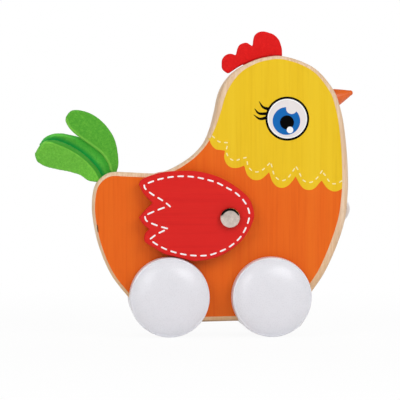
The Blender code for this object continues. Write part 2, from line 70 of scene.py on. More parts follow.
view = {"azimuth": -3.7, "elevation": 1.0, "distance": 1.2, "lookAt": (0.0032, 0.0, 0.07612), "lens": 191.75}


def show(name, data):
    # puts a mesh, a lamp or the camera in the scene
    made = bpy.data.objects.new(name, data)
    bpy.context.scene.collection.objects.link(made)
    return made


def aim(thing, azimuth, elevation, distance, middle):
    # stands a lamp or the camera off a middle, facing it
    turn, rise = math.radians(azimuth), math.radians(elevation)
    away = Vector((math.sin(turn) * math.cos(rise), -math.cos(turn) * math.cos(rise), math.sin(rise)))
    thing.location = Vector(middle) + away * distance
    thing.rotation_euler = (-away).to_track_quat("-Z", "Y").to_euler()


def addCamera():
    camera = show("camera", bpy.data.cameras.new("camera"))
    camera.data.lens = view["lens"]
    camera.data.sensor_width = 36.0
    camera.data.clip_start, camera.data.clip_end = 0.05, 50.0
    aim(camera, view["azimuth"], view["elevation"], view["distance"], view["lookAt"])
    bpy.context.scene.camera = camera


addCamera()
print("camera: placed")


# Lines

def smoothRun(points, steps=8):
    # a smooth line through the drawn points
    given = [Vector(p) for p in points]
    ends = [2 * given[0] - given[1]] + given + [2 * given[-1] - given[-2]]
    found = []
    for a, b, c, d in zip(ends, ends[1:], ends[2:], ends[3:]):
        for k in range(steps):
            t = k / steps
            bend = (2 * a - 5 * b + 4 * c - d) * t**2 + (3 * b - a - 3 * c + d) * t**3
            found.append(0.5 * (2 * b + (c - a) * t + bend))
    return found + [given[-1]]


def closedLine(runs):
    # smooth runs, each ending in a corner where the next begins
    found = []
    for run in runs:
        found += (smoothRun(run, 6) if len(run) > 2 else [Vector(p) for p in run])[:-1]
    return found


def lengthOf(line):
    return sum((b - a).length for a, b in zip(line, line[1:]))


def evenly(line, gap):
    # points a steady distance apart, both ends kept
    lengths = [(b - a).length for a, b in zip(line, line[1:])]
    count = max(1, round(sum(lengths) / gap))
    found, index, passed = [line[0]], 0, 0.0
    for k in range(1, count):
        target = sum(lengths) * k / count
        while passed + lengths[index] < target:
            passed += lengths[index]
            index += 1
        found.append(line[index].lerp(line[index + 1], (target - passed) / lengths[index]))
    return found + [line[-1]]


def partOf(line, start, end):
    # the stretch of a line between two distances along it
    found, passed = [], 0.0
    for a, b in zip(line, line[1:]):
        step = (b - a).length
        for mark in (start, end):
            if passed <= mark < passed + step:
                found.append(a.lerp(b, (mark - passed) / step))
        if start < passed + step < end:
            found.append(b)
        passed += step
    return found


def arc(middle, radius, start, end, steps):
    # points round a middle from one angle to another, in degrees
    angles = [math.radians(start + (end - start) * k / steps) for k in range(steps + 1)]
    return [(middle[0] + radius * math.cos(a), middle[1] + radius * math.sin(a)) for a in angles]


def shareOf(value, low, high):
    return min(max((value - low) / (high - low), 0.0), 1.0)


def place(point, y=0.0):
    # a drawn point in the frame
    return Vector((point[0] * mm, y, point[1] * mm + drawingHeight))


# Shader trees

def colour(code):
    # linear RGBA from an sRGB hex code
    parts = [int(code[i : i + 2], 16) / 255 for i in (0, 2, 4)]
    return [p / 12.92 if p <= 0.04045 else ((p + 0.055) / 1.055) ** 2.4 for p in parts] + [1.0]


class Value:
    # a socket with a number in it; arithmetic on it adds Math nodes
    def __init__(self, shades, socket):
        self.shades, self.socket = shades, socket

    def maths(self, operation, *values):
        return self.shades.node("Math", {"operation": operation}, values)

    def __add__(self, other):
        return self.maths("ADD", self, other)

    def __sub__(self, other):
        return self.maths("SUBTRACT", self, other)

    def __rsub__(self, other):
        return self.maths("SUBTRACT", other, self)

    def __mul__(self, other):
        return self.maths("MULTIPLY", self, other)

    __radd__, __rmul__ = __add__, __mul__


class Shades:
    # the node tree of a finish or of the studio's world
    def __init__(self, tree):
        self.tree = tree

    def node(self, kind, settings=None, values=(), output=0):
        made = self.tree.nodes.new("ShaderNode" + kind)
        for name, value in (settings or {}).items():
            setattr(made, name, value)
        for key, value in values.items() if isinstance(values, dict) else enumerate(values):
            self.join(value, made.inputs[key])
        return Value(self, made.outputs[output])

    def join(self, value, socket):
        if isinstance(value, Value):
            self.tree.links.new(value.socket, socket)
        else:
            socket.default_value = value

    def mix(self, share, first, second):
        settings = {"data_type": "RGBA", "clamp_factor": True}
        return self.node("Mix", settings, {0: share, 6: first, 7: second}, 2)

    def cloud(self, often, detail=2.0, roughness=0.5, distortion=0.0, source="Object"):
        # a noise; often: how many features a metre there are, along each axis or along all
        scale = often if isinstance(often, tuple) else (often,) * 3
        found = self.node("TexCoord", None, (), source)
        at = self.node("Mapping", None, {"Vector": found, "Scale": scale})
        values = {"Vector": at, "Scale": 1.0, "Detail": detail, "Roughness": roughness}
        return self.node("TexNoise", None, {**values, "Distortion": distortion})

    def ramp(self, value, low, high):
        # 0 below low, 1 above high, smooth between
        settings = {"interpolation_type": "SMOOTHSTEP"}
        values = {"Value": value, "From Min": low, "From Max": high, "To Min": 0.0, "To Max": 1.0}
        return self.node("MapRange", settings, values)

    def rays(self, kind):
        # 1 for rays of that kind: Camera, Glossy or Transmission
        return self.node("LightPath", None, (), f"Is {kind} Ray")


class Finish(Shades):
    def __init__(self, name, metallic=0.0, sheen=0.0, shine=0.5):
        self.material = bpy.data.materials.new(name)
        self.material.use_nodes = True
        super().__init__(self.material.node_tree)
        self.shader = self.tree.nodes["Principled BSDF"]
        self.shader.inputs["Metallic"].default_value = metallic
        self.shader.inputs["Sheen Weight"].default_value = sheen
        self.shader.inputs["Specular IOR Level"].default_value = shine

    def set(self, name, value):
        self.join(value, self.shader.inputs[name])

    def dressed(self, base, roughness, height, depth):
        # the finished material, with bumps of that depth where height is 1
        self.set("Base Color", base)
        self.set("Roughness", roughness)
        values = {"Strength": 1.0, "Distance": depth, "Height": height}
        self.set("Normal", self.node("Bump", None, values))
        return self.material


# the board's bare edge turns tan toward the wheels, and a painted shade darkens the very bottom: a tone,
# the height in metres up to which it is full, the height where it is gone, and its share
lowTonesAndShade = [("E2B686", 0.022, 0.062, 0.75), ("8A5A3A", 0.0084, 0.0094, 0.6)]


def bareWood(name, pale, tan, brown, bands=()):
    finish = Finish(name, shine=0.25)
    lines = finish.cloud((1100, 520, 26), 3.0, 0.6, 0.3)
    broad = finish.cloud((120, 90, 14))
    pores = finish.ramp(finish.cloud((2600, 2600, 160)), 0.62, 0.75)
    base = finish.mix(finish.ramp(lines, 0.35, 0.68), colour(pale), colour(tan))
    base = finish.mix(finish.ramp(broad, 0.5, 0.85) * 0.45, base, colour(brown))
    base = finish.mix(pores * 0.35, base, colour(brown))
    # tones by height, the lowest of them a painted shade along the bottom edge
    for tone, full, gone, share in bands:
        height = finish.node("SeparateXYZ", None, (finish.node("TexCoord", None, (), "Object"),), "Z")
        base = finish.mix((1 - finish.ramp(height, full, gone)) * share, base, colour(tone))
    return finish.dressed(base, 0.52 + lines * 0.18, lines * 0.7 - pores * 0.6, 0.06 * mm)


def woodPaint(name, tone, deep, lift, gloss=0.42, along="z"):
    # satin paint over a grain that still shows as streaks
    finish = Finish(name, shine=0.2)
    across, lengthwise = 820, 24
    scale = {"z": (across, across, lengthwise), "x": (lengthwise, across, across)}[along]
    wide = tuple(s / 6 for s in scale)
    streaks = finish.cloud(scale, 3.0, 0.6, 0.15)
    broad = finish.cloud(wide)
    speck = finish.cloud(1500)
    base = finish.mix(finish.ramp(streaks, 0.42, 0.72) * 0.55, colour(tone), colour(deep))
    base = finish.mix(finish.ramp(broad, 0.45, 0.75) * 0.6, base, colour(lift))
    return finish.dressed(base, gloss - 0.04 + streaks * 0.1, streaks + speck * 0.35, 0.03 * mm)


def printInk(name, tone, gloss=0.4, shine=0.2):
    finish = Finish(name, shine=shine)
    speck = finish.cloud(900)
    streaks = finish.cloud((820, 820, 24))
    lighter = [min(1.0, v * 1.12 + 0.0006) for v in colour(tone)[:3]] + [1.0]
    base = finish.mix(speck * 0.5, colour(tone), lighter)
    return finish.dressed(base, gloss - 0.05 + speck * 0.1, streaks + speck * 0.3, 0.02 * mm)


def felt(name, tone, deep, lift, marks=()):
    # marks of painted light and shade: a stored closeness to a line, where each begins and is full, its share
    # and its colour
    finish = Finish(name, sheen=0.1, shine=0.1)
    fibres = finish.cloud(1700, 4.0, 0.7, 1.6)
    tufts = finish.cloud(560, 3.0, 0.6, 0.6)
    base = finish.mix(finish.ramp(fibres, 0.35, 0.62), colour(deep), colour(tone))
    base = finish.mix(finish.ramp(tufts, 0.45, 0.8) * 0.5, base, colour(lift))
    for attribute, begins, full, share, tint in marks:
        near = finish.node("Attribute", {"attribute_name": attribute}, (), "Fac")
        base = finish.mix(finish.ramp(near, begins, full) * share, base, colour(tint))
    return finish.dressed(base, 0.88 + fibres * 0.12, fibres + tufts * 0.5, 0.2 * mm)


def enamel(name, tone, shade, gloss):
    finish = Finish(name)
    ripple = finish.cloud(260)
    dust = finish.cloud(1800)
    base = finish.mix(finish.ramp(ripple, 0.35, 0.8) * 0.5, colour(tone), colour(shade))
    return finish.dressed(base, gloss - 0.03 + dust * 0.08, ripple + dust * 0.08, 0.06 * mm)


def metal(name, tone, shade, gloss):
    finish = Finish(name, metallic=1.0)
    grains = finish.cloud(2200, 3.0, 0.65)
    clouds = finish.cloud(420)
    base = finish.mix(finish.ramp(clouds, 0.35, 0.7), colour(tone), colour(shade))
    return finish.dressed(base, gloss - 0.05 + grains * 0.14, grains, 0.01 * mm)


def plastic(name, tone, gloss=0.4):
    finish = Finish(name)
    haze = finish.cloud(1400, 3.0)
    darker = [v * 0.9 for v in colour(tone)[:3]] + [1.0]
    base = finish.mix(haze * 0.6, colour(tone), darker)
    return finish.dressed(base, gloss + haze * 0.12, haze, 0.02 * mm)


def braid(name, tone, deep):
    # u goes once round the cord, v counts millimetres along it
    finish = Finish(name, sheen=0.15)
    fibres = finish.cloud((26, 5, 1), 3.0, 0.6, source="UV")
    dust = finish.cloud(1600)
    base = finish.mix(finish.ramp(fibres, 0.3, 0.65), colour(deep), colour(tone))
    return finish.dressed(base, 0.8 + dust * 0.15, fibres + dust * 0.4, 0.08 * mm)


finishes = {
    "bareEdge": bareWood("bare birch edge", "EED2B4", "E2BC96", "BE8E62", lowTonesAndShade),
    "orange": woodPaint("orange satin paint", "EB6916", "E05A0C", "F0741C"),
    "yellow": woodPaint("yellow satin paint", "EEC420", "E5B818", "F4CE2C"),
    "red": woodPaint("red satin paint", "DC211D", "D21A18", "E02820", 0.4, "x"),
    "bib": printInk("cream stitches", "F7E8AC"),
    "stitch": printInk("white stitches", "F8F4F4"),
    "black": printInk("black ink", "040405", 0.5, 0.04),
    "eyeRim": printInk("white ink", "F4F2F2"),
    "eyeFill": printInk("eye ink", "E6E0E0"),
    "iris": printInk("blue ink", "1A68B4", 0.45, 0.05),
    "shine": printInk("highlight ink", "F4F4F6"),
    "knick": printInk("dark knick", "5A3318", 0.7),
    # the red felt comb, with a painted shade along its base where it stands on the board
    "combFelt": felt("red felt", "EA2222", "D81818", "F22E28", [("base", 0.0, 0.75, 0.92, "A80E10")]),
    # the upper leaf's felt, with a painted highlight along its bottom edge
    "paleLeaf": felt("pale green felt", "64B83A", "469E32", "7ECE4A", [("rim", 0.72, 0.88, 0.4, "A0E860")]),
    # the near leaf: the same felt painted lighter for the light its downward lean keeps off it, with a
    # painted highlight band along its top edge and a painted shade right at that edge
    "lightLeaf": felt("light green felt", "7CD046", "5AB43A", "96E25A", [
        ("rim", 0.5, 0.62, 0.3, "92E054"), ("rim", 0.62, 0.74, 0.9, "3C9A30"),
    ]),
    # the far leaf: the same felt painted lighter for the shade it lies in, with painted light under the upper
    # leaf's bottom edge and a painted shade in the groove under the near leaf's top edge
    "deepLeaf": felt("deep green felt", "6CD24C", "54BA42", "84E058", [
        ("strip", 0.1, 0.9, 0.5, "54DC50"), ("groove", 0.0, 0.75, 0.92, "12A848"),
    ]),
    "beak": enamel("beak paint", "E8661A", "DC5A12", 0.3),
    "wheel": enamel("white wheel enamel", "E7E7ED", "E3E3E9", 0.27),
    "ball": enamel("white ball enamel", "E8E7E8", "E3E2E4", 0.3),
    "nickel": metal("satin nickel", "D8C9BF", "C7B9B0", 0.08),
    "steel": metal("pin steel", "B8B8BC", "A8A8AE", 0.35),
    "axle": bareWood("axle birch", "E0C6A0", "CFAE84", "A9825C"),
    "washer": plastic("white nylon", "E6E6E2"),
    "cord": braid("white cord", "F6F2F2", "EAE4E2"),
}
print("finishes: made", len(finishes))


# Pieces

def meshOf(name, bm):
    mesh = bpy.data.meshes.new(name)
    bm.to_mesh(mesh)
    bm.free()
    return mesh


def putPiece(name, bm, finish, smooth=40, stands=(), body="toy_body"):
    mesh = meshOf(name, bm)
    mesh.shade_smooth()
    mesh.set_sharp_from_angle(angle=math.radians(smooth))
    mesh.materials.append(finishes[finish])
    piece = show(name, mesh)
    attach(piece, body)
    if stands:
        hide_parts(*stands)
    return piece


def flatFaces(piece):
    # keeps wide flat faces flat beside their rounded rims
    even = piece.modifiers.new("even normals", "WEIGHTED_NORMAL")
    even.mode = "FACE_AREA"
    even.weight = 100
    even.keep_sharp = True


def plate(points, inner, outer, rounding=0.0, segments=4):
    # a flat board: its outline grown through its thickness, with both rims rounded
    bm = bmesh.new()
    start = bm.faces.new([bm.verts.new(place(p, inner)) for p in points])
    grown = bmesh.ops.extrude_face_region(bm, geom=[start])["geom"]
    raised = [v for v in grown if isinstance(v, bmesh.types.BMVert)]
    bmesh.ops.translate(bm, vec=(0, outer - inner, 0), verts=raised)
    bmesh.ops.recalc_face_normals(bm, faces=bm.faces)
    if rounding:
        rims = [e for e in bm.edges if abs(e.verts[0].co.y - e.verts[1].co.y) < hair]
        bmesh.ops.bevel(
            bm, geom=rims, offset=rounding, segments=segments, profile=0.5, affect="EDGES",
            clamp_overlap=True, material=-1,
        )
    return bm


def lathe(profile, start, direction, steps):
    # (radius, distance along the axis) points turned all the way round
    bm = bmesh.new()
    verts = [bm.verts.new((radius, 0, along)) for radius, along in profile]
    edges = [bm.edges.new(pair) for pair in zip(verts, verts[1:])]
    bmesh.ops.spin(
        bm, geom=verts + edges, cent=(0, 0, 0), axis=(0, 0, 1), dvec=(0, 0, 0), angle=math.tau, steps=steps,
        use_merge=True,
    )
    bmesh.ops.remove_doubles(bm, verts=bm.verts, dist=hair)
    bmesh.ops.recalc_face_normals(bm, faces=bm.faces)
    turn = Vector((0, 0, 1)).rotation_difference(Vector(direction)).to_matrix().to_4x4()
    bmesh.ops.transform(bm, matrix=Matrix.Translation(Vector(start)) @ turn, verts=bm.verts)
    return bm


def bake(piece):
    # gives a piece the form that its modifiers make of it
    mesh = bpy.data.meshes.new_from_object(piece.evaluated_get(bpy.context.evaluated_depsgraph_get()))
    piece.modifiers.clear()
    old, finish = piece.data, piece.data.materials[0]
    piece.data = mesh
    bpy.data.meshes.remove(old)
    if not mesh.materials:
        mesh.materials.append(finish)
    return mesh


def carve(piece, shapes, smooth=40):
    # takes the shapes out of a piece
    tools = []
    for bm in shapes:
        tool = show("tool", meshOf("tool", bm))
        hole = piece.modifiers.new("hole", "BOOLEAN")
        hole.operation, hole.solver, hole.object = "DIFFERENCE", "EXACT", tool
        tools.append(tool)
    cut = bake(piece)
    cut.shade_smooth()
    cut.set_sharp_from_angle(angle=math.radians(smooth))
    for tool in tools:
        mesh = tool.data
        bpy.data.objects.remove(tool)
        bpy.data.meshes.remove(mesh)


ink = {"sunk": 0.3, "thickness": 0.03, "pointGap": 0.25}


def film(shapes, side, face, layer):
    # flat patches of paint or ink on a face, each layer a little prouder than the one below
    sunk, proud = ink["sunk"] * mm, ink["thickness"] * layer * mm
    bm = bmesh.new()
    base = side * (face - sunk)
    patches = [bm.faces.new([bm.verts.new(place(p, base)) for p in shape]) for shape in shapes]
    grown = bmesh.ops.extrude_face_region(bm, geom=patches)["geom"]
    raised = [v for v in grown if isinstance(v, bmesh.types.BMVert)]
    bmesh.ops.translate(bm, vec=(0, side * (sunk + proud), 0), verts=raised)
    bmesh.ops.recalc_face_normals(bm, faces=bm.faces)
    return bm


def ribbon(line, widths, endSteps=5):
    # a closed stroke round a line, its ends rounded
    turns = [math.pi * (j + 1) / (endSteps + 1) for j in range(endSteps)]
    last = len(line) - 1
    left, right, ends = [], [], []
    for k, point in enumerate(line):
        along = (line[min(k + 1, last)] - line[max(k - 1, 0)]).normalized()
        across = Vector((-along.y, along.x))
        half = widths[k] / 2
        left.append(point + across * half)
        right.append(point - across * half)
        if k in (0, last):
            way = -1 if k == 0 else 1
            ends.append([point + (along * math.sin(t) + across * math.cos(t)) * half * way for t in turns])
    return left + ends[1] + right[::-1] + ends[0]


def stitches(style, count, lead, trail, points):
    # printed dashes along one line, with room left at its ends
    line = evenly(smoothRun(points), ink["pointGap"])
    width, gap = style["width"], style["gap"]
    pitch = (lengthOf(line) - lead - trail + gap) / count
    found = []
    for k in range(count):
        start = lead + k * pitch + width / 2
        end = lead + (k + 1) * pitch - gap - width / 2
        dash = partOf(line, start, end)
        found.append(ribbon(dash, [width] * len(dash)))
    return found


# Cord

# metres, apart from the drawn places. The coil climbs to its upper layer over part of a turn. The
# relief is how far out the cord lies between its strands, and how much further on them
cord = {
    "diameter": 0.0025, "holeDepth": 0.007, "mouth": (84.5, 53.2), "tilt": 45.0, "step": 0.0004,
    "coilAt": (0.0499, 0.062), "coilRadius": 0.0155, "coilStep": 0.00295, "turnsPerLayer": 2, "climb": 0.5,
    "offFloor": 0.00005, "pointsPerTurn": 24, "strands": 8, "pick": 0.0031, "around": 16,
    "relief": (0.93, 0.1),
}
# x and y and height of the stretch to the coil, then of the stretch from the coil to the ball
cordRoute = [
    (86.6, 1.4, 50.9), (87.4, 4.0, 48.2), (87.1, 7.4, 45.6), (85.3, 11.0, 42.2), (82.2, 13.2, 38.0),
    (78.3, 13.8, 32.5), (74.1, 14.2, 25.6), (70.8, 15.7, 18.7), (68.9, 18.9, 11.8), (68.1, 23.1, 4.1),
    (67.8, 28.0, -2.6), (67.5, 33.2, -8.6), (66.8, 38.8, -13.8), (65.8, 44.4, -17.75), (65.0, 50.2, -20.05),
]
tailRoute = [(34.2, 54.0, -17.75), (34.0, 47.8, -16.85), (34.1, 42.0, -15.25), (35.8, 37.0, -13.85)]
ball = {"diameter": 0.018, "at": (0.0495, 0.0350), "bore": 0.00155, "flare": 0.0006}
ballMouth = [(0.0, 0.0012), (0.0001, 0.0005)]  # how much wider the bore is, and how far inside its rim
knot = {
    "length": 0.00465, "gap": 0.0003, "inside": 0.0015, "strand": 0.00105, "loop": 0.00098, "lobe": 1.15,
    "twist": 2200, "relief": (0.95, 0.07),
}


def ballMiddle():
    return Vector((*ball["at"], ball["diameter"] / 2))


def cordLine():
    # out of its hole, round behind the board and the front wheel, into the coil and on through the ball
    tilt = math.radians(cord["tilt"])
    out = Vector((math.cos(tilt), 0, -math.sin(tilt)))
    mouth = place(cord["mouth"])
    layer, climb = cord["turnsPerLayer"], cord["climb"]
    turns = 2 * layer + climb
    low = cord["diameter"] / 2 + cord["offFloor"]
    x, y = cord["coilAt"]
    coil = []
    count = round(turns * cord["pointsPerTurn"])
    for k in range(count + 1):
        turn = turns * k / count
        share = shareOf(turn, layer, layer + climb)
        radius = cord["coilRadius"] - cord["coilStep"] * min(turn, turns - turn)
        angle = math.tau * turn
        z = low + cord["coilStep"] * share * share * (3 - 2 * share)
        coil.append(Vector((x + radius * math.cos(angle), y + radius * math.sin(angle), z)))
    straight = Vector((0, cord["diameter"], 0))
    start = mouth - out * cord["holeDepth"]
    stretch = [start, start.lerp(mouth, 0.5), mouth] + [place((x, z), y * mm) for x, y, z in cordRoute]
    stretch += [coil[0] - 2 * straight, coil[0] - straight]
    middle = ballMiddle()
    radius = Vector((ball["diameter"] / 2, 0, 0))
    leave = coil[-1] - straight
    tail = [leave, leave - straight] + [place((x, z), y * mm) for x, y, z in tailRoute]
    tail += [middle - radius, middle, middle + radius, middle + radius + Vector((knot["inside"], 0, 0))]
    return smoothRun(stretch)[:-1] + coil + smoothRun(tail), mouth


def makeTube(line, radius, around, relief):
    # rings round a line, carried along without twisting, with a surface that rises and falls
    bm = bmesh.new()
    wrap = bm.loops.layers.uv.new("wrap")
    along = (line[1] - line[0]).normalized()
    across = along.orthogonal().normalized()
    rings, passed = [], 0.0
    for k, point in enumerate(line):
        ahead = (line[min(k + 1, len(line) - 1)] - line[max(k - 1, 0)]).normalized()
        across = (across - ahead * across.dot(ahead)).normalized()
        other = ahead.cross(across)
        ring = []
        for j in range(around):
            angle = math.tau * j / around
            reach = radius * relief(angle, passed)
            ring.append(bm.verts.new(point + (across * math.cos(angle) + other * math.sin(angle)) * reach))
        rings.append((ring, passed))
        if k + 1 < len(line):
            passed += (line[k + 1] - point).length
    for (a, low), (b, high) in zip(rings, rings[1:]):
        for j in range(around):
            following = (j + 1) % around
            face = bm.faces.new([a[j], a[following], b[following], b[j]])
            marks = [(j, low), (j + 1, low), (j + 1, high), (j, high)]
            for corner, (u, v) in zip(face.loops, marks):
                corner[wrap].uv = (u / around, v / mm)
    bm.faces.new(rings[0][0][::-1])
    bm.faces.new(rings[-1][0])
    bmesh.ops.recalc_face_normals(bm, faces=bm.faces)
    return bm


def braidRelief(angle, passed):
    # two sets of strands that cross as they wind round
    turns = math.tau * passed / (cord["pick"] * cord["strands"] / 2)
    strands = cord["strands"] / 2
    one = abs(math.sin(strands * (angle - turns) / 2))
    two = abs(math.sin(strands * (angle + turns) / 2))
    low, more = cord["relief"]
    return low + more * max(one, two) ** 2


def makeBall():
    radius, hole = ball["diameter"] / 2, ball["bore"]
    lip = hole + ball["flare"]
    edge = math.sqrt(radius**2 - lip**2)
    start = math.degrees(math.atan2(lip, edge)) - 90
    opening = [(hole + wider, edge - inside) for wider, inside in ballMouth]
    profile = [(reach, -along) for reach, along in opening] + arc((0, 0), radius, start, -start, 36)
    profile += opening[::-1] + profile[:1]
    bm = lathe(profile, ballMiddle(), (1, 0, 0), 72)
    return putPiece("pull_ball_turned", bm, "ball", 50, ["pull_ball"])


def knotRelief(angle, passed):
    # strands that wind one way round the drawn-out cord
    low, more = knot["relief"]
    return low + more * abs(math.sin(2 * angle - passed * knot["twist"]))


def makeKnot():
    # an overhand knot, drawn tight against the ball
    base = ballMiddle() + Vector((ball["diameter"] / 2 + knot["length"] / 2 + knot["gap"], 0, 0))
    strand, loop, lobe = knot["strand"], knot["loop"], knot["lobe"]
    steps = 96
    line = []
    for k in range(steps + 1):
        t = math.tau * k / steps
        swell = 0.62 + 0.38 * math.cos(3 * t)
        line.append(base + Vector((
            -math.sin(3 * t) * strand,
            (math.sin(t) + lobe * math.sin(2 * t)) * loop,
            (math.cos(t) - lobe * math.cos(2 * t)) * loop * (0.9 + 0.1 * swell),
        )))
    bm = makeTube(line, strand, 14, knotRelief)
    return putPiece("end_knot_tied", bm, "cord", 60, ["end_knot"])


def makeCord():
    route, mouth = cordLine()
    line = evenly(route, cord["step"] * (1))
    bm = makeTube(line, cord["diameter"] / 2, cord["around"], braidRelief)
    piece = putPiece("pull_cord_line", bm, "cord", 60)
    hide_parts("pull_cord_stretch", "pull_cord_coil", "pull_cord_tail")
    length = lengthOf(line)
    print(f"cord: {length:.3f} m long")
    bead, end = makeBall(), makeKnot()


makeCord()
print("cord: laid")


# Board

board = {"face": 11.0, "rounding": 2.4}
# the beak is given here, because its seat is cut in the board
beak = {
    "base": (80.0, 111.6), "tilt": 17.5, "diameter": 10.0, "length": 10.2, "tip": 1.5, "sunk": 0.9,
    "bulge": 1.12,
}
# x, z and the width of bare wood between the rim and the paint:
boardOutline = [
    [(40.0, -13.4, 2.8), (51.5, -11.6, 3.2), (59.0, -5.6, 3.6), (66.1, 3.3, 3.8), (73.3, 14.3, 3.9),
     (80.2, 29.8, 4.2), (84.4, 44.0, 4.1), (85.8, 58.0, 3.7), (85.9, 68.0, 3.5), (85.2, 81.4, 3.3),
     (83.4, 96.8, 3.0), (81.0, 107.2, 2.8), (77.9, 115.3, 2.6), (69.5, 125.7, 2.2), (60.2, 131.3, 2.0),
     (48.5, 134.5, 1.9), (39.4, 133.8, 1.9), (31.7, 131.5, 2.1), (24.0, 127.4, 2.6), (17.7, 121.2, 3.3),
     (13.7, 113.5, 3.3), (11.4, 103.2, 2.6), (8.6, 93.0, 1.7), (4.6, 84.7, 1.2), (-2.9, 77.3, 1.3),
     (-13.0, 71.3, 1.6), (-20.8, 68.9, 1.9), (-28.0, 68.9, 2.2), (-37.6, 69.4, 2.4), (-46.6, 69.5, 2.2),
     (-52.0, 67.0, 2.0), (-55.8, 62.0, 1.7), (-57.4, 54.6, 1.6), (-57.2, 44.3, 1.5), (-54.0, 28.8, 1.5),
     (-47.4, 12.9, 1.6), (-37.9, 0.3, 1.8), (-29.0, -9.2, 2.2), (-20.5, -13.6, 2.8), (-10.0, -14.5, 2.9)],
    [(-10.0, -14.5, 2.9), (40.0, -13.4, 2.8)],
]
# what is cut out of the board: the felt's slots as drawn corners, half their width across the board,
# the beak's seat and the cord's groove
slots = [
    ([(30.8, 123.9), (48.5, 127.7), (49.7, 134.8), (47.8, 143.8), (25.4, 139.0), (27.3, 130.2)], 1.8),
    ([(-51.7, 56.5), (-39.5, 63.5), (-48.0, 78.2), (-60.2, 71.2)], 5.1),
]
seat = {"radius": 5.3, "depth": 0.9, "length": 11.0}
groove = {"radius": 1.61, "length": 26.0}
scallops = [
    [(6.4, 89.2), (7.8, 87.4), (8.4, 85.7), (9.4, 84.0), (10.8, 82.7), (11.9, 82.1), (13.9, 81.9),
     (16.4, 81.5)],
    [(16.4, 81.5), (16.3, 80.3), (16.0, 78.5), (16.3, 76.5), (17.0, 74.7), (18.4, 73.0), (20.3, 72.0),
     (22.1, 71.8), (24.5, 72.1), (27.1, 73.2)],
    [(27.1, 73.2), (27.6, 72.1), (28.1, 70.1), (28.9, 68.1), (30.2, 66.6), (31.9, 65.4), (34.2, 65.0),
     (36.6, 65.5), (38.9, 67.2), (41.2, 69.5)],
    [(41.2, 69.5), (41.9, 67.3), (42.8, 64.7), (44.3, 62.6), (46.1, 61.2), (48.2, 60.7), (50.1, 61.0),
     (52.4, 62.4), (54.3, 64.5), (56.0, 67.1)],
    [(56.0, 67.1), (57.2, 65.0), (58.5, 62.7), (59.8, 61.1), (61.4, 59.9), (63.5, 59.5), (65.6, 59.8),
     (67.5, 61.1), (69.1, 63.0), (70.8, 64.8)],
    [(70.8, 64.8), (72.0, 63.0), (73.3, 61.1), (75.0, 59.7), (76.9, 58.8), (78.9, 58.7), (80.6, 59.3),
     (82.4, 60.3)],
]
bibStitch = {"width": 0.66, "gap": 1.9}
# each run: how many dashes, the room before and after them, and the line
bibRuns = [
    (3, 0.4, 0.2, [
        (8.8, 90.1), (11.0, 88.3), (13.1, 86.5), (15.9, 86.1), (18.3, 85.9),
    ]),
    (5, 1.6, 0.2, [
        (17.8, 85.8), (17.7, 84.1), (17.3, 82.2), (17.4, 80.2), (18.4, 78.1), (20.3, 76.4), (22.4, 75.9),
        (25.4, 77.0), (28.8, 77.8),
    ]),
    (5, 2.2, 0.2, [
        (28.8, 77.8), (28.9, 75.5), (29.2, 73.5), (30.1, 71.8), (32.0, 70.1), (34.4, 69.6), (37.1, 70.5),
        (39.1, 72.1), (41.8, 74.8),
    ]),
    (6, 0.6, 0.6, [
        (42.0, 74.8), (43.1, 71.6), (43.6, 69.1), (44.9, 66.8), (47.2, 65.0), (49.3, 64.9), (51.3, 65.8),
        (53.5, 68.5), (55.9, 72.2),
    ]),
    (6, 0.3, 0.1, [
        (56.2, 72.9), (57.6, 70.4), (58.8, 67.8), (60.2, 65.2), (62.4, 63.9), (64.7, 63.8), (66.7, 64.9),
        (69.1, 67.3), (71.2, 70.6),
    ]),
    (4, 0.6, 0.1, [
        (71.3, 69.6), (73.3, 66.9), (74.8, 64.6), (76.5, 63.2), (78.7, 63.0), (80.8, 63.8), (82.4, 64.9),
    ]),
]
# the discs that make up the eye, from the lowest up: middle, radius, points round it and finish
eye = {
    "eye_ring": ((51.4, 99.4), 12.3, 96, "black"), "eye_rim": ((51.4, 99.4), 11.1, 96, "eyeRim"),
    "eye_fill": ((51.4, 99.35), 10.5, 96, "eyeFill"), "iris": ((50.9, 98.1), 7.75, 72, "iris"),
    "pupil": ((51.2, 97.3), 3.95, 72, "black"), "eye_shine": ((53.8, 105.1), 3.1, 72, "eyeFill"),
    "eye_glint": ((52.9, 93.1), 1.85, 72, "shine"),
}
lashes = [
    [(41.3, 104.7), (37.8, 105.8), (35.6, 108.9)],
    [(40.8, 102.2), (35.6, 102.3), (33.1, 104.9)],
    [(40.3, 100.1), (36.0, 99.3), (32.6, 101.5)],
]
lash = {"root": 1.7, "tip": 0.3, "taper": 1.7}
nick = [(-55.0, 40.2), (-54.5, 40.1), (-54.2, 38.0), (-54.1, 36.0), (-54.5, 36.1), (-54.9, 38.0)]


def paintLine():
    # the rim's line moved inward by the bare width at each place
    rim = closedLine(boardOutline)
    found = []
    for k, point in enumerate(rim):
        along = rim[(k + 1) % len(rim)].xy - rim[k - 1].xy
        inward = Vector((-along.y, along.x)).normalized()
        found.append(point.xy + inward * point.z)
    return found


def nearest(line, point):
    return min(range(len(line)), key=lambda k: (line[k] - Vector(point)).length)


def boardTools():
    # the shapes that are taken out of the board
    tilt = math.radians(beak["tilt"])
    along = Vector((math.cos(tilt), 0, math.sin(tilt)))
    reach, length = seat["radius"] * mm, seat["length"] * mm
    profile = [(0, 0), (reach, 0), (reach, length), (0, length)]
    tools = [plate(corners, -half * mm, half * mm) for corners, half in slots]
    tools.append(lathe(profile, place(beak["base"]) - along * seat["depth"] * mm, along, 48))
    run = partOf(cordLine()[0], 0.0, groove["length"] * mm)
    tools.append(makeTube(run, groove["radius"] * mm, 24, lambda angle, passed: 1.0))
    return tools


def lashStroke(points):
    line = smoothRun(points)
    shares = [(k / (len(line) - 1)) ** lash["taper"] for k in range(len(line))]
    return ribbon(line, [lash["root"] + (lash["tip"] - lash["root"]) * share for share in shares])


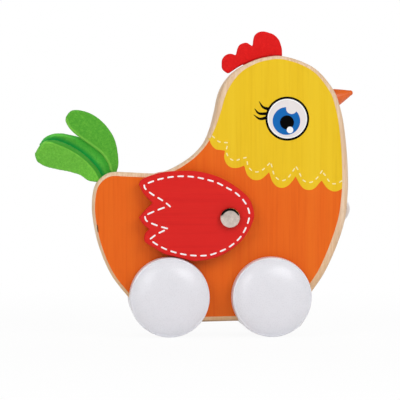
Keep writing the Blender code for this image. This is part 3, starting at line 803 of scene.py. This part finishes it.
def printLayers():
    # name, shapes and finish of what is painted and printed on each face, from the lowest layer up
    painted = paintLine()
    scallopLine = []
    for run in scallops:
        scallopLine += smoothRun(run, 5)[:-1]
    scallopLine.append(Vector(scallops[-1][-1]))
    right, left = nearest(painted, scallopLine[-1]), nearest(painted, scallopLine[0])
    bib = painted[right : left + 1] + scallopLine[1:-1]
    dashes = [dash for run in bibRuns for dash in stitches(bibStitch, *run)]
    strokes = [lashStroke(points) for points in lashes]
    layers = [
        ("orange_paint", [painted], "orange"), ("yellow_paint", [bib], "yellow"),
        ("bib_stitches", dashes, "bib"), ("lashes", strokes, "black"),
    ]
    for name, (middle, radius, steps, finish) in eye.items():
        layers.append((name, [arc(middle, radius, 0, 360, steps)[:-1]], finish))
    return layers


def makeBoard():
    rim = [p.xy for p in closedLine(boardOutline)]
    face = board["face"] * mm
    bm = plate(rim, -face, face, board["rounding"] * mm, 6)
    wood = putPiece("board", bm, "bareEdge", 40, ["body_board"])
    carve(wood, boardTools())
    flatFaces(wood)
    layers = printLayers()
    for word, side in sides.items():
        for level, (name, shapes, finish) in enumerate(layers):
            bm = film(shapes, side, face, level + 1)
            putPiece(f"{name}_{word}", bm, finish)
    # a small knock in the near face's paint
    bm = film([nick], sides["near"], face, 2)
    putPiece("paint_nick", bm, "knick")


makeBoard()
print("board: cut and painted")


# Beak

def makeBeak():
    tilt = math.radians(beak["tilt"])
    radius, tip, length = beak["diameter"] / 2 * mm, beak["tip"] * mm, beak["length"] * mm
    profile = [(0, -beak["sunk"] * mm), (radius, -beak["sunk"] * mm)]
    steps = 16
    for k in range(steps + 1):
        share = k / steps
        profile.append((tip + (radius - tip) * (1 - share ** beak["bulge"]), share * (length - tip)))
    profile += arc((0, length - tip), tip, 0, 90, 8)[1:-1] + [(0, length)]
    bm = lathe(profile, place(beak["base"]), (math.cos(tilt), 0, math.sin(tilt)), 48)
    putPiece("beak_turned", bm, "beak", 40, ["beak"])


makeBeak()
print("beak: turned")


# Wings

wing = {"inner": 13.6, "thickness": 5.0, "rounding": 1.1, "pin": (18.6, 44.2)}
# drawn from the pin:
wingOutline = [
    [(-50.5, 18.6), (-48.1, 21.7), (-38.4, 25.0), (-27.2, 26.1), (-16.1, 25.5), (-4.9, 22.1), (4.7, 16.3),
     (11.0, 10.3), (13.6, 2.2), (12.2, -3.8), (8.5, -10.4), (2.5, -16.4), (-4.9, -20.9), (-12.3, -23.2),
     (-19.8, -24.0), (-25.3, -22.8), (-31.7, -21.2), (-36.2, -20.1), (-41.6, -16.9), (-46.7, -13.7),
     (-47.6, -11.3)],
    [(-47.6, -11.3), (-47.0, -8.7), (-44.9, -6.3)],
    [(-44.9, -6.3), (-48.3, -3.3), (-50.4, 0.3)],
    [(-50.4, 0.3), (-46.6, 4.7), (-42.9, 8.2)],
    [(-42.9, 8.2), (-47.7, 13.3), (-50.5, 18.6)],
]
wingStitch = {"width": 0.88, "gap": 1.95}
# as the bib's runs, drawn from the pin
wingRuns = [
    (24, 2.2, 1.9, [
        (-47.6, 18.4), (-45.1, 19.4), (-40.0, 21.2), (-34.5, 22.4), (-28.9, 23.0), (-23.6, 23.0),
        (-18.2, 22.4), (-12.8, 21.2), (-7.4, 19.6), (-2.5, 17.1), (2.3, 14.5), (6.5, 10.9), (9.5, 6.7),
        (10.9, 1.9), (9.8, -3.4), (6.9, -9.3), (3.3, -13.4), (-1.0, -16.6), (-6.2, -19.0), (-11.5, -20.7),
        (-16.8, -21.0), (-22.5, -20.7), (-27.8, -19.8), (-33.2, -18.3), (-38.2, -16.1), (-42.7, -13.3),
        (-44.0, -11.5),
    ]),
    (4, -0.5, -0.5, [
        (-47.6, 18.3), (-47.2, 16.6), (-46.1, 15.4), (-42.8, 12.9), (-38.1, 10.1), (-35.0, 7.9),
        (-33.2, 6.3),
    ]),
    (2, 3.0, 1.6, [
        (-33.2, 6.3), (-36.8, 5.6), (-42.0, 3.6), (-45.2, 2.2), (-47.0, 0.8),
    ]),
    (3, -0.5, -0.4, [
        (-47.2, 0.8), (-46.7, -0.9), (-45.5, -2.1), (-42.0, -3.6), (-38.3, -4.9), (-34.8, -5.9),
    ]),
    (2, 1.6, -0.5, [
        (-34.8, -5.9), (-36.5, -7.0), (-40.6, -9.0), (-44.0, -11.5),
    ]),
]
cap = {
    "radius": 5.85, "inner": 18.9, "height": 3.0, "rim": 2.1, "foot": 0.3, "crown": 0.02, "bore": 2.3,
    "boreDepth": 2.1,
}


def fromPin(points):
    return [Vector((p[0] + wing["pin"][0], p[1] + wing["pin"][1])) for p in points]


def makeWings():
    line = fromPin(closedLine(wingOutline))
    inner, face = wing["inner"] * mm, (wing["inner"] + wing["thickness"]) * mm
    for word, side in sides.items():
        bm = plate(line, side * inner, side * face, wing["rounding"] * mm, 5)
        body = f"{word}_wing"
        piece = putPiece(f"wing_{word}_painted", bm, "red", 40, [f"wing_{word}"], body)
        flatFaces(piece)
        dashes = []
        for *counts, points in wingRuns:
            dashes += stitches(wingStitch, *counts, fromPin(points))
        bm = film(dashes, side, face, 1)
        putPiece(f"wing_{word}_stitches", bm, "stitch", body=body)


def makeCaps():
    radius, height, rim = (cap[k] * mm for k in ("radius", "height", "rim"))
    bore, depth, foot = (cap[k] * mm for k in ("bore", "boreDepth", "foot"))
    profile = [(0, depth), (bore, depth), (bore, 0), (radius - foot, 0), (radius, foot)]
    profile += arc((radius - rim, height - rim), rim, 0, 90, 16)
    profile.append((0, height + cap["crown"] * mm))
    pin = place(wing["pin"])
    for word, side in sides.items():
        bm = lathe(profile, (pin.x, side * cap["inner"] * mm, pin.z), (0, side, 0), 96)
        kept = [f"rivet_cap_{word}"]
        putPiece(f"rivet_cap_{word}_pressed", bm, "nickel", 40, kept)


makeWings()
makeCaps()
print("wings: cut, stitched and capped")


# Wheels

wheel = {
    "radius": 22.4, "width": 12.0, "inner": 12.6, "bore": 3.3, "boreDepth": 8.0, "back": 1.2, "tread": 8.9,
    "taper": 0.35, "lip": 0.8, "creaseWidth": 0.24, "creaseDepth": 0.16, "dome": 3.1,
    "axles": {"rear": -14.8, "front": 42.1},
}


def makeWheels():
    radius, taper, dome, tread, lip = (wheel[k] * mm for k in ("radius", "taper", "dome", "tread", "lip"))
    face = radius - taper - lip
    width, bore, depth, back = (wheel[k] * mm for k in ("width", "bore", "boreDepth", "back"))
    profile = [(0, depth), (bore, depth), (bore, 0)] + arc((radius - back, back), back, -90, 0, 4)
    profile += arc((face, tread - lip), lip, 0, 90, 4)
    # a fine crease, then the face, flat in the middle and falling off toward its edge
    crease, sunk = wheel["creaseWidth"] * mm, wheel["creaseDepth"] * mm
    profile.append((face - crease / 2, tread - sunk))
    steps = 28
    for k in range(1, steps + 1):
        share = 1 - k / steps
        profile.append(((face - crease) * share, width - dome * share**4))
    for end, x in wheel["axles"].items():
        for word, side in sides.items():
            bm = lathe(profile, (x * mm, side * wheel["inner"] * mm, radius), (0, side, 0), 128)
            name = f"wheel_{end}_{word}"
            body = end + "_wheelset"
            putPiece(name + "_enamelled", bm, "wheel", 40, [name], body)


makeWheels()
print("wheels: turned")


# Felt

comb = {"shadeReach": 1.7, "thickness": 2.8, "rounding": 0.9, "voxel": 0.45, "rough": 0.10, "swell": 0.14}
combOutline = [
    [(49.4, 134.9), (49.4, 137.5), (48.9, 140.6), (47.6, 143.9), (45.1, 146.6), (42.1, 147.9), (38.8, 148.6),
     (36.2, 148.1), (34.2, 146.5), (33.4, 144.0), (33.1, 140.0)],
    [(33.1, 140.0), (31.5, 141.0), (29.5, 142.2), (27.3, 141.9), (25.3, 140.7), (24.2, 138.2), (23.6, 134.8)],
    [(23.6, 134.8), (21.8, 135.7), (19.8, 136.0), (17.4, 135.0), (15.8, 132.8), (15.5, 130.3), (15.8, 127.7),
     (17.5, 126.0), (19.2, 125.2), (21.2, 126.4), (24.0, 128.3), (27.6, 130.3)],
    [(27.6, 130.3), (31.0, 124.3)], [(31.0, 124.3), (48.2, 128.0)], [(48.2, 128.0), (49.4, 134.9)],
]
feltLumps = [(420, 0.6), (1500, 0.4)]  # how many a metre, and their share
# the leaves stand in one slot, layerGap apart, and splay toward their tips by splayBy at splayAt;
# edgeLoss: what the roundness of the felt's edges takes off its thickness
leaf = {
    "thickness": 2.8, "voxel": 0.45, "rough": 0.12, "swell": 0.18, "splayBy": 6.5, "splayAt": 40.0,
    "mouth": (-49.6, 66.9), "lean": 30.0, "root": 7.4, "rootSteps": 6, "layerGap": 3.3, "edgeLoss": 1.0,
    "narrowest": 3.0, "columns": 40, "rows": 10,
    # reach: how far each mark of painted light and shade spreads from its edge; fade: where the marks come up
    # along the toy
    "reach": {"groove": 3.6, "strip": 5.5, "rim": 6.0}, "fade": (-90.0, -76.0), "markGap": 0.5,
}
# layer: its place across the toy; tilt: how far it has turned once it is past opens; marks: the edge
# that each of its painted light and shade tints follows
leaves = {
    "upper": {
        "layer": 0, "tilt": 4.0, "opens": (0.0, 14.0), "finish": "paleLeaf", "slot": "leaf_felt_light",
        "marks": {"rim": ("upper", "bottom")},
        "top": [(-44.0, 69.2), (-42.8, 75.3), (-44.6, 86.8), (-49.4, 95.0), (-56.2, 101.1), (-63.5, 103.9),
                (-69.1, 103.8), (-72.0, 100.4)],
        "bottom": [(-47.3, 70.4), (-48.6, 74.6), (-52.6, 80.2), (-58.6, 84.9), (-65.0, 89.4), (-69.6, 93.6),
                   (-72.1, 97.6), (-72.2, 98.8)],
    },
    "far": {
        "layer": 1, "tilt": 34.0, "opens": (12.0, 30.0), "finish": "deepLeaf", "slot": "leaf_felt_dark",
        "marks": {"groove": ("near", "top"), "strip": ("upper", "bottom")},
        "top": [(-45.8, 69.4), (-48.6, 76.0), (-54.6, 83.0), (-62.4, 88.0), (-70.4, 90.4), (-78.2, 91.0),
                (-83.9, 88.8), (-86.3, 84.7)],
        "bottom": [(-51.6, 65.6), (-56.4, 70.4), (-61.6, 73.8), (-68.0, 76.6), (-74.6, 78.4), (-80.6, 80.2),
                   (-85.0, 82.4), (-87.0, 84.0)],
    },
    "near": {
        "layer": -1, "tilt": 34.0, "opens": (0.0, 14.0), "finish": "lightLeaf", "slot": "leaf_felt_light",
        "marks": {"rim": ("near", "top")},
        "top": [(-51.7, 66.0), (-55.5, 72.6), (-62.0, 79.0), (-70.1, 84.1), (-78.0, 87.0), (-83.9, 86.4),
                (-87.8, 82.0), (-88.7, 79.4)],
        "bottom": [(-54.2, 64.1), (-56.8, 64.3), (-59.9, 65.0), (-63.9, 67.9), (-70.6, 70.1), (-77.7, 71.4),
                   (-83.8, 73.0), (-88.0, 75.4), (-89.2, 78.2)],
    },
}


def matted(piece, voxel, rough, swell):
    # turns a clean form into felt: an even skin, softened, then roughened by a fixed noise
    skin = piece.modifiers.new("skin", "REMESH")
    skin.mode = "VOXEL"
    skin.voxel_size = voxel * mm * 1
    soft = piece.modifiers.new("soft", "SMOOTH")
    soft.factor, soft.iterations = 0.5, 3
    mesh = bake(piece)
    for vert in mesh.vertices:
        spot = vert.co
        lumps = sum(noise.noise(spot * often) * share for often, share in feltLumps)
        vert.co = spot + vert.normal * (swell + lumps * rough) * mm
    mesh.shade_smooth()


def markNear(piece, name, line, reach, fade=None):
    # how close the felt lies to a drawn line, the mask of its painted light and shade: 1 on it, 0 from reach
    # millimetres on; fade lets it come up between two x along the toy
    marks = piece.data.attributes.new(name, "FLOAT", "POINT")
    for vert, mark in zip(piece.data.vertices, marks.data):
        spot = Vector((vert.co.x / mm, (vert.co.z - drawingHeight) / mm))
        mark.value = max(0.0, 1 - min((spot - point).length for point in line) / reach)
        if fade:
            mark.value *= shareOf(spot.x, *fade) ** 0.5


def makeComb():
    half = comb["thickness"] / 2 * mm
    bm = plate(closedLine(combOutline), -half, half, comb["rounding"] * mm, 3)
    piece = putPiece("comb_felt_shape", bm, "combFelt", 60, ["comb"])
    matted(piece, comb["voxel"], comb["rough"], comb["swell"])
    # how close the comb lies to the board's rim, the mask of its painted shade
    markNear(piece, "base", [p.xy for p in closedLine(boardOutline)], comb["shadeReach"])


def makeLeaf(name, shape):
    lean = math.radians(leaf["lean"])
    inward = Vector((math.sin(lean), -math.cos(lean)))
    mouth = Vector(leaf["mouth"])
    steps = leaf["rootSteps"]
    edges = []
    for side in (shape["top"], shape["bottom"]):
        line = smoothRun(side)
        foot = line[0] + inward * (leaf["root"] - (line[0] - mouth).dot(inward))
        line = evenly(line, lengthOf(line) / leaf["columns"])
        edges.append([foot.lerp(line[0], k / steps) for k in range(steps)] + line)
    stations = len(edges[0])
    bm = bmesh.new()
    bmesh.ops.create_grid(bm, x_segments=stations - 1, y_segments=leaf["rows"], size=0.5)
    for vert in bm.verts:
        along = round((vert.co.x + 0.5) * (stations - 1))
        across = vert.co.y + 0.5
        top, bottom = edges[0][along], edges[1][along]
        out = max(0.0, -(top.lerp(bottom, 0.5) - mouth).dot(inward))
        wide = (top - bottom).length
        share = shareOf(out, *shape["opens"])
        tilt = math.radians(shape["tilt"]) * share * share * (3 - 2 * share)
        # the tilted thickness shows above and below, so the middle sheet is that much narrower
        shown = (leaf["thickness"] - leaf["edgeLoss"]) * abs(math.sin(tilt))
        narrower = shown / max(wide, leaf["narrowest"])
        across = 0.5 + (across - 0.5) * (1 - narrower)
        y = shape["layer"] * (leaf["layerGap"] + leaf["splayBy"] * (out / leaf["splayAt"]) ** 2)
        y -= math.tan(tilt) * (across - 0.5) * wide
        vert.co = place(bottom.lerp(top, across), y * mm)
    bmesh.ops.recalc_face_normals(bm, faces=bm.faces)
    kept = [f"tail_leaf_{name}"]
    piece = putPiece(f"leaf_{name}_felt", bm, shape["finish"], 60, kept)
    thick = piece.modifiers.new("thickness", "SOLIDIFY")
    thick.thickness, thick.offset = leaf["thickness"] * mm, 0.0
    matted(piece, leaf["voxel"], leaf["rough"], leaf["swell"])
    for mark, (leafName, side) in shape["marks"].items():
        line = evenly(smoothRun(leaves[leafName][side]), leaf["markGap"])
        markNear(piece, mark, line, leaf["reach"][mark], leaf["fade"])


makeComb()
for leafName, leafShape in leaves.items():
    makeLeaf(leafName, leafShape)
print("felt: comb and three leaves")


# Small parts that keep their frame shape

keptParts = {"axle_front": "axle", "axle_rear": "axle", "wing_pin": "steel"}
for word in sides:
    for start in ("wing_spacer", "wheel_washer_front", "wheel_washer_rear"):
        keptParts[f"{start}_{word}"] = "washer"
for nodeName, finishName in keptParts.items():
    frame["nodes"][nodeName].material_slots[0].material = finishes[finishName]
print("small parts: finished")


# Studio

# plain: how much of the floor's own white shows under the toy; it fades to all of it between the
# two distances of clear
floor = {"half": 4.0, "tone": 0.9, "rough": 0.9, "plain": 0.94, "clear": (0.12, 0.5)}
# fill lights the toy from all round; the rest is what polished pieces mirror, by the height at which
# the room gets dark and by how far aside and behind its bright walls begin
room = {
    "fill": 0.365, "level": 0.8, "zenith": 0.01, "dark": (0.12, 0.3), "aside": (0.25, 0.45),
    "behind": (0.1, 0.3),
}
# power, size, azimuth, elevation, distance, and of a lamp that only makes a highlight, its pieces
lamps = {
    "key softbox": (7.6, 0.9, 34, 32, 1.5),
    "left softbox": (6.1, 0.9, -38, 30, 1.5),
    "top softbox": (1.9, 0.8, 10, 80, 1.3),
    "back softbox": (5.0, 0.9, 172, 30, 1.3),
    "right sheen": (2.8, 0.42, 18, 19, 1.2, ("wheel_",)),
    "left sheen": (2.0, 0.42, -24, 14, 1.2, ("wheel_",)),
    "beak glint": (1.5, 0.2, 44, 26, 1.2, ("beak_",)),
}
lampsAimAt = (0.0, 0.0, 0.08)


def grey(level):
    return (level,) * 3 + (1.0,)


def addFloor():
    bm = bmesh.new()
    bmesh.ops.create_grid(bm, x_segments=1, y_segments=1, size=floor["half"])
    mesh = meshOf("floor", bm)
    ground = show("floor", mesh)
    paper = Finish("white paper")
    paper.set("Base Color", grey(floor["tone"]))
    paper.set("Roughness", floor["rough"])
    white = paper.node("Emission", None, {"Color": grey(1.0), "Strength": 1.0})
    seen, glossy, through = (paper.rays(kind) for kind in ("Camera", "Glossy", "Transmission"))
    shown = seen.maths("MAXIMUM", seen, glossy.maths("MAXIMUM", glossy, through))
    fromMiddle = paper.node("TexCoord", None, (), "Object")
    distance = paper.node("VectorMath", {"operation": "LENGTH"}, (fromMiddle,), "Value")
    share = shown * (floor["plain"] + (1 - floor["plain"]) * paper.ramp(distance, *floor["clear"]))
    mixed = paper.node("MixShader", None, (share, Value(paper, paper.shader.outputs[0]), white))
    paper.join(mixed, paper.tree.nodes["Material Output"].inputs["Surface"])
    mesh.materials.append(paper.material)


def addLamp(name, power, size, azimuth, elevation, distance, mirroredBy=()):
    data = bpy.data.lights.new(name, "AREA")
    data.shape, data.size, data.energy = "SQUARE", size, power
    lamp = show(name, data)
    lamp.visible_glossy = bool(mirroredBy)
    if mirroredBy:
        lamp.visible_diffuse = False
        shown = bpy.data.collections.new(name + " receivers")
        for piece in bpy.data.objects:
            if piece.name.startswith(mirroredBy):
                shown.objects.link(piece)
        lamp.light_linking.receiver_collection = shown
    aim(lamp, azimuth, elevation, distance, lampsAimAt)


def addWorld():
    world = bpy.data.worlds.new("studio")
    bpy.context.scene.world = world
    world.use_nodes = True
    sky = Shades(world.node_tree)
    seen, glossy, through = (sky.rays(kind) for kind in ("Camera", "Glossy", "Transmission"))
    towards = sky.node("TexCoord", None, (), "Generated")
    aside, behind, height = (sky.node("SeparateXYZ", None, (towards,), axis) for axis in "XYZ")
    # what polished pieces mirror: a pale room, dark overhead, with bright walls behind to each side
    dome = sky.mix(sky.ramp(height, *room["dark"]), grey(room["level"]), grey(room["zenith"]))
    walls = sky.ramp(aside.maths("ABSOLUTE", aside), *room["aside"]) * sky.ramp(behind, *room["behind"])
    dome = sky.mix(walls, dome, grey(1.0))
    base = sky.mix(glossy, grey(room["fill"]), dome)
    base = sky.mix(seen.maths("MAXIMUM", seen, through), base, grey(1.0))
    sky.join(base, world.node_tree.nodes["Background"].inputs["Color"])


addFloor()
for lampName, values in lamps.items():
    addLamp(lampName, *values)
addWorld()
bpy.context.scene.view_settings.view_transform = "Standard"
print("studio: lit")
